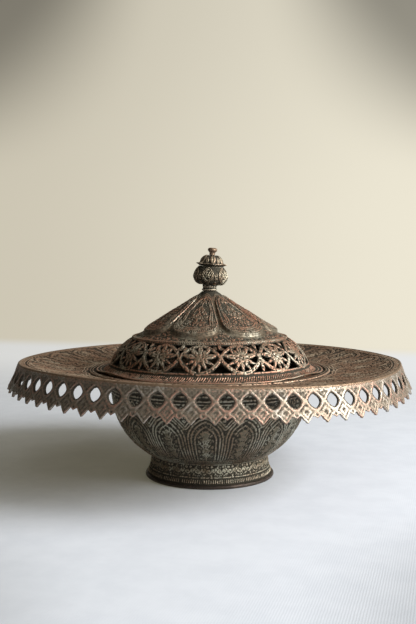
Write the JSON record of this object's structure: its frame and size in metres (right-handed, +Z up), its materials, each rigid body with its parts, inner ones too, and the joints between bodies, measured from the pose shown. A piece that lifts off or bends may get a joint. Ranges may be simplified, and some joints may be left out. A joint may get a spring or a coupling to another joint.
{
  "type": "incense burner",
  "caption": "Footed copper incense bowl with a wide dished platter, pierced hanging skirt, and a domed pierced lid with a bud finial over a loose fire pan.",
  "frame": {"origin": "centre of the foot's hem, on the table", "axes": "+Z up along the axis of the bowl, lid and finial; -Y towards the viewer"},
  "size_m": [0.2599, 0.26, 0.1492],
  "materials": {
    "bowl_copper": "tinned copper, chased, dark patina",
    "platter_copper": "tinned copper, chased, worn to the copper on the raised work",
    "skirt_copper": "tinned copper, pierced and engraved",
    "lid_copper": "tinned copper, pierced and chased",
    "finial_copper": "tinned copper, dark patina",
    "wire_copper": "worn copper wire",
    "pan_copper": "sooted copper"
  },
  "bodies": {
    "vessel": {"foot": "bowl_copper", "foot_hem_wire": "bowl_copper", "bowl": "bowl_copper", "mouth_rivets": "wire_copper", "platter": "platter_copper", "platter_rim_wire": "wire_copper", "skirt": "skirt_copper"},
    "lid": {"lid_brim": "lid_copper", "lid_bezel": "lid_copper", "lid_gallery": "lid_copper", "lid_seam_wire": "wire_copper", "lid_crown": "lid_copper", "finial_collar": "finial_copper", "finial_bud": "finial_copper", "finial_cap": "finial_copper", "finial_button": "finial_copper", "finial_rod": "wire_copper", "finial_washer": "wire_copper"},
    "pan": {"fire_pan": "pan_copper", "pan_edge_wire": "pan_copper", "pan_feet": "pan_copper"}
  },
  "joints": [
    {"name": "lid_lift", "type": "slide", "parent": "vessel", "child": "lid", "axis": [0, 0, 1], "range_m": [0, 0.1]},
    {"name": "pan_lift", "type": "slide", "parent": "vessel", "child": "pan", "axis": [0, 0, 1], "range_m": [0, 0.03]}
  ]
}
